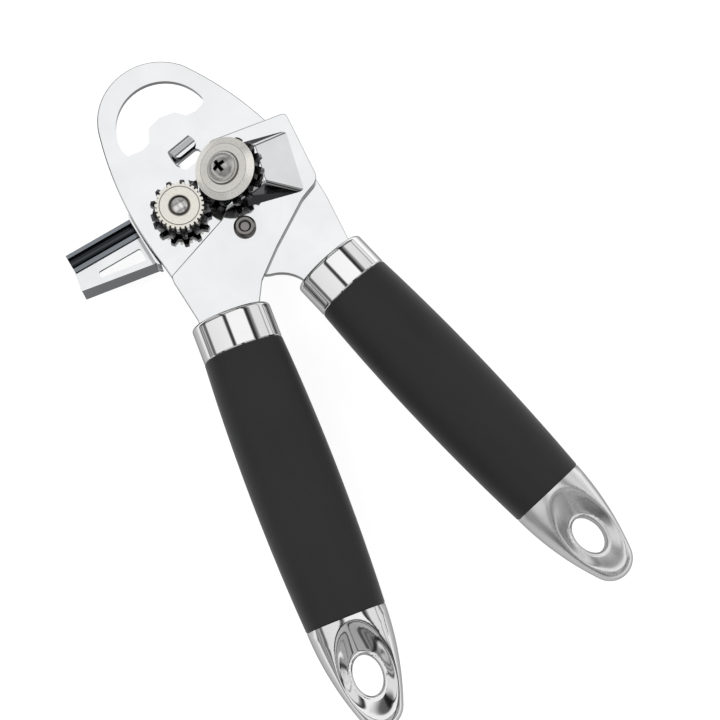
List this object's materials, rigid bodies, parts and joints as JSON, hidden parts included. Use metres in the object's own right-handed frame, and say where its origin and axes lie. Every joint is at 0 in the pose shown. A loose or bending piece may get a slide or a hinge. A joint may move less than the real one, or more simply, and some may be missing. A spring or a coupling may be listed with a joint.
{
  "type": "manual can opener",
  "caption": "Hand-held can opener: pivoted chrome plates on rubber-gripped handles, a geared serrated feed wheel turned by a key, a tilted cutter disc and a bottle-opener head.",
  "frame": {"origin": "centre of the underside of the bounding box, level with the rear edges of the turn key's flanges", "axes": "+Y along the tool to the bottle-opener head, +Z out of the plates to the cutter side, +X across the tool to the side opposite the feed wheel"},
  "size_m": [0.0968, 0.207, 0.0368],
  "materials": {
    "plate_chrome": "mirror-polished nickel-chrome plate over pressed steel",
    "key_chrome": "polished chrome over bent sheet steel",
    "wheel_nickel": "satin nickel, turned face",
    "gear_steel": "blackened stamped steel, worn bright along the teeth",
    "disc_steel": "ground stainless steel with fine turning marks",
    "screw_nickel": "polished nickel",
    "rivet_nickel": "darker polished nickel",
    "hidden_steel": "plain zinc-coated steel",
    "collar_chrome": "polished chrome ferrule",
    "cap_chrome": "polished chrome end cap",
    "core_plastic": "glass-filled black plastic",
    "grip_rubber": "soft-touch black rubber with a faint sheen"
  },
  "bodies": {
    "feed_arm": {"feed_plate": "plate_chrome", "pivot_rivet": "rivet_nickel", "pivot_washer": "hidden_steel", "feed_bush": "hidden_steel", "right_handle_core": "core_plastic", "right_tang_pins": "hidden_steel", "right_collar": "collar_chrome", "right_grip": "grip_rubber", "right_end_cap": "cap_chrome"},
    "cutter_arm": {"cutter_plate": "plate_chrome", "cutter_washer": "hidden_steel", "cutter_sleeve": "hidden_steel", "cutter_screw": "screw_nickel", "cutter_nut": "hidden_steel", "left_handle_core": "core_plastic", "left_tang_pins": "hidden_steel", "left_collar": "collar_chrome", "left_grip": "grip_rubber", "left_end_cap": "cap_chrome"},
    "feed_spindle": {"feed_shaft": "screw_nickel", "feed_gear": "gear_steel", "feed_wheel": "wheel_nickel", "feed_washer": "hidden_steel", "turn_key": "key_chrome", "key_collar": "screw_nickel"},
    "cutter_wheel": {"cutter_disc": "disc_steel", "cutter_spacer": "hidden_steel", "cutter_gear": "gear_steel"}
  },
  "joints": [
    {"name": "handle_pivot", "type": "hinge", "parent": "feed_arm", "child": "cutter_arm", "pos_m": [0.00213, 0.04154, 0.0202], "axis": [0, 0, 1], "range_deg": [-26, 4]},
    {"name": "feed_spin", "type": "hinge", "parent": "feed_arm", "child": "feed_spindle", "pos_m": [-0.01157, 0.05565, 0.0202], "axis": [0, 0, 1], "continuous": true},
    {"name": "cutter_spin", "type": "hinge", "parent": "cutter_arm", "child": "cutter_wheel", "pos_m": [0.00483, 0.05724, 0.0326], "axis": [-0.3696, 0.099, 0.9239], "continuous": true}
  ],
  "couplings": [
    {"joint": "cutter_spin", "follows": "feed_spin", "ratio": -0.92857}
  ]
}
